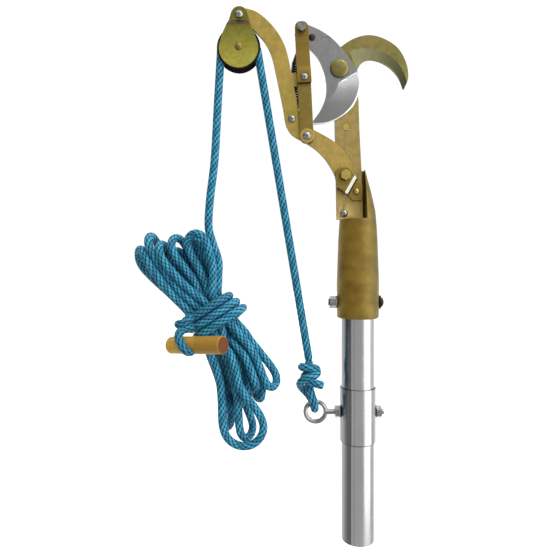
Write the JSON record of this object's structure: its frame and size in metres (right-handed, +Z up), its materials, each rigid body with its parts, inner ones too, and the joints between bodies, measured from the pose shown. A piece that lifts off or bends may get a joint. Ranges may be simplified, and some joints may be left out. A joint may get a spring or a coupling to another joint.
{
  "type": "pole tree pruner head",
  "caption": "Rope-operated bypass tree pruner head on a short aluminium pole: fixed hook, cutting blade, side lever with link and spring, pulley block and hanked pull rope with a toggle.",
  "frame": {"origin": "centre of the pole's lower end, on the pole's axis", "axes": "+Z up the pole towards the hook, +X towards the hook's point, -Y out of the face that carries the lever and blade"},
  "size_m": [0.3184, 0.0959, 0.617],
  "materials": {
    "yellow_zinc": "satin yellow zinc-chromate plating",
    "brown_zinc": "satin brown-gold plating",
    "bright_zinc": "bright zinc plating",
    "black_oxide": "satin black-brown oxide",
    "bare_aluminium": "satin drawn aluminium",
    "cast_paint": "semi-gloss olive-gold paint on a casting",
    "blade_steel": "satin ground steel",
    "sheave_black": "satin black",
    "rope_blue": "braided synthetic rope",
    "toggle_wood": "bare turned wood"
  },
  "bodies": {
    "root": {"lower_tube": "bare_aluminium", "upper_tube": "bare_aluminium", "coupling_sleeve": "bare_aluminium", "eye_bolt": "bright_zinc", "eye_nut_near": "bright_zinc", "eye_nut_far": "bright_zinc", "head_casting": "cast_paint", "clamp_bolt": "black_oxide", "clamp_washer": "black_oxide", "clamp_nut": "bright_zinc", "hook_plate": "yellow_zinc", "shank_rivet": "yellow_zinc", "shank_bolt": "bright_zinc", "shank_nut": "bright_zinc", "bolt_support_strap": "brown_zinc", "strap_rivet": "yellow_zinc", "lever_bolt": "yellow_zinc", "lever_nut": "yellow_zinc", "blade_pivot_bolt": "yellow_zinc", "blade_pivot_nut": "yellow_zinc", "rope_knot": "rope_blue", "rope_eye_loop": "rope_blue"},
    "lever": {"side_lever": "yellow_zinc", "anchor_bolt": "bright_zinc", "anchor_bush": "black_oxide", "anchor_nut": "black_oxide"},
    "blade": {"cutting_blade": "blade_steel", "blade_stud": "black_oxide"},
    "link": {"link_lower_strap": "brown_zinc", "link_upper_strap": "brown_zinc", "link_screw": "bright_zinc", "link_washer": "yellow_zinc", "link_bolt": "bright_zinc", "link_nut": "yellow_zinc", "tail_bolt": "bright_zinc", "tail_bush": "yellow_zinc", "tail_nut": "yellow_zinc", "return_spring": "black_oxide"},
    "spring_hook": {"spring_hook": "black_oxide"},
    "pulley_block": {"cheek_front": "yellow_zinc", "cheek_rear": "yellow_zinc", "block_pin": "bright_zinc", "block_pin_nut": "yellow_zinc", "sheave_axle": "brown_zinc", "rope_over_sheave": "rope_blue"},
    "sheave": {"sheave": "sheave_black"},
    "rope_run": {"rope_standing_run": "rope_blue"},
    "rope_fall": {"rope_fall": "rope_blue", "rope_hank": "rope_blue", "toggle_handle": "toggle_wood"}
  },
  "joints": [
    {"name": "lever_pull", "type": "hinge", "parent": "root", "child": "lever", "pos_m": [-0.0162, 0, 0.4219], "axis": [0, -1, 0], "range_deg": [0, 95], "stiffness_Nm_per_rad": 1.3, "springref_deg": -126.05, "deforming": ["return_spring", "rope_standing_run", "rope_fall"]},
    {"name": "blade_swing", "type": "hinge", "parent": "root", "child": "blade", "pos_m": [-0.0224, 0, 0.5462], "axis": [0, -1, 0], "range_deg": [0, 95]},
    {"name": "link_swing", "type": "hinge", "parent": "lever", "child": "link", "pos_m": [-0.0601, 0, 0.4672], "axis": [0, -1, 0], "range_deg": [-95, 0]},
    {"name": "spring_hook_swing", "type": "hinge", "parent": "lever", "child": "spring_hook", "pos_m": [-0.0773, 0, 0.4881], "axis": [0, -1, 0], "range_deg": [-95, 0]},
    {"name": "block_swing", "type": "hinge", "parent": "lever", "child": "pulley_block", "pos_m": [-0.138, 0, 0.6075], "axis": [0, -1, 0], "range_deg": [-95, 0]},
    {"name": "sheave_spin", "type": "hinge", "parent": "pulley_block", "child": "sheave", "pos_m": [-0.1385, -0.0053, 0.5686], "axis": [0, -1, 0], "continuous": true},
    {"name": "rope_run_swing", "type": "hinge", "parent": "root", "child": "rope_run", "pos_m": [-0.057, 0, 0.208], "axis": [0, -1, 0], "range_deg": [0, 57]},
    {"name": "rope_fall_drop", "type": "slide", "parent": "pulley_block", "child": "rope_fall", "axis": [0, 0, -1], "range_m": [0, 0.2534]}
  ],
  "couplings": [
    {"joint": "blade_swing", "follows": "lever_pull", "ratio": 1},
    {"joint": "link_swing", "follows": "lever_pull", "ratio": -1},
    {"joint": "spring_hook_swing", "follows": "lever_pull", "ratio": -1},
    {"joint": "block_swing", "follows": "lever_pull", "ratio": -1},
    {"joint": "rope_run_swing", "follows": "lever_pull", "ratio": 0.59},
    {"joint": "rope_fall_drop", "follows": "lever_pull", "m_per_rad": 0.1522}
  ]
}
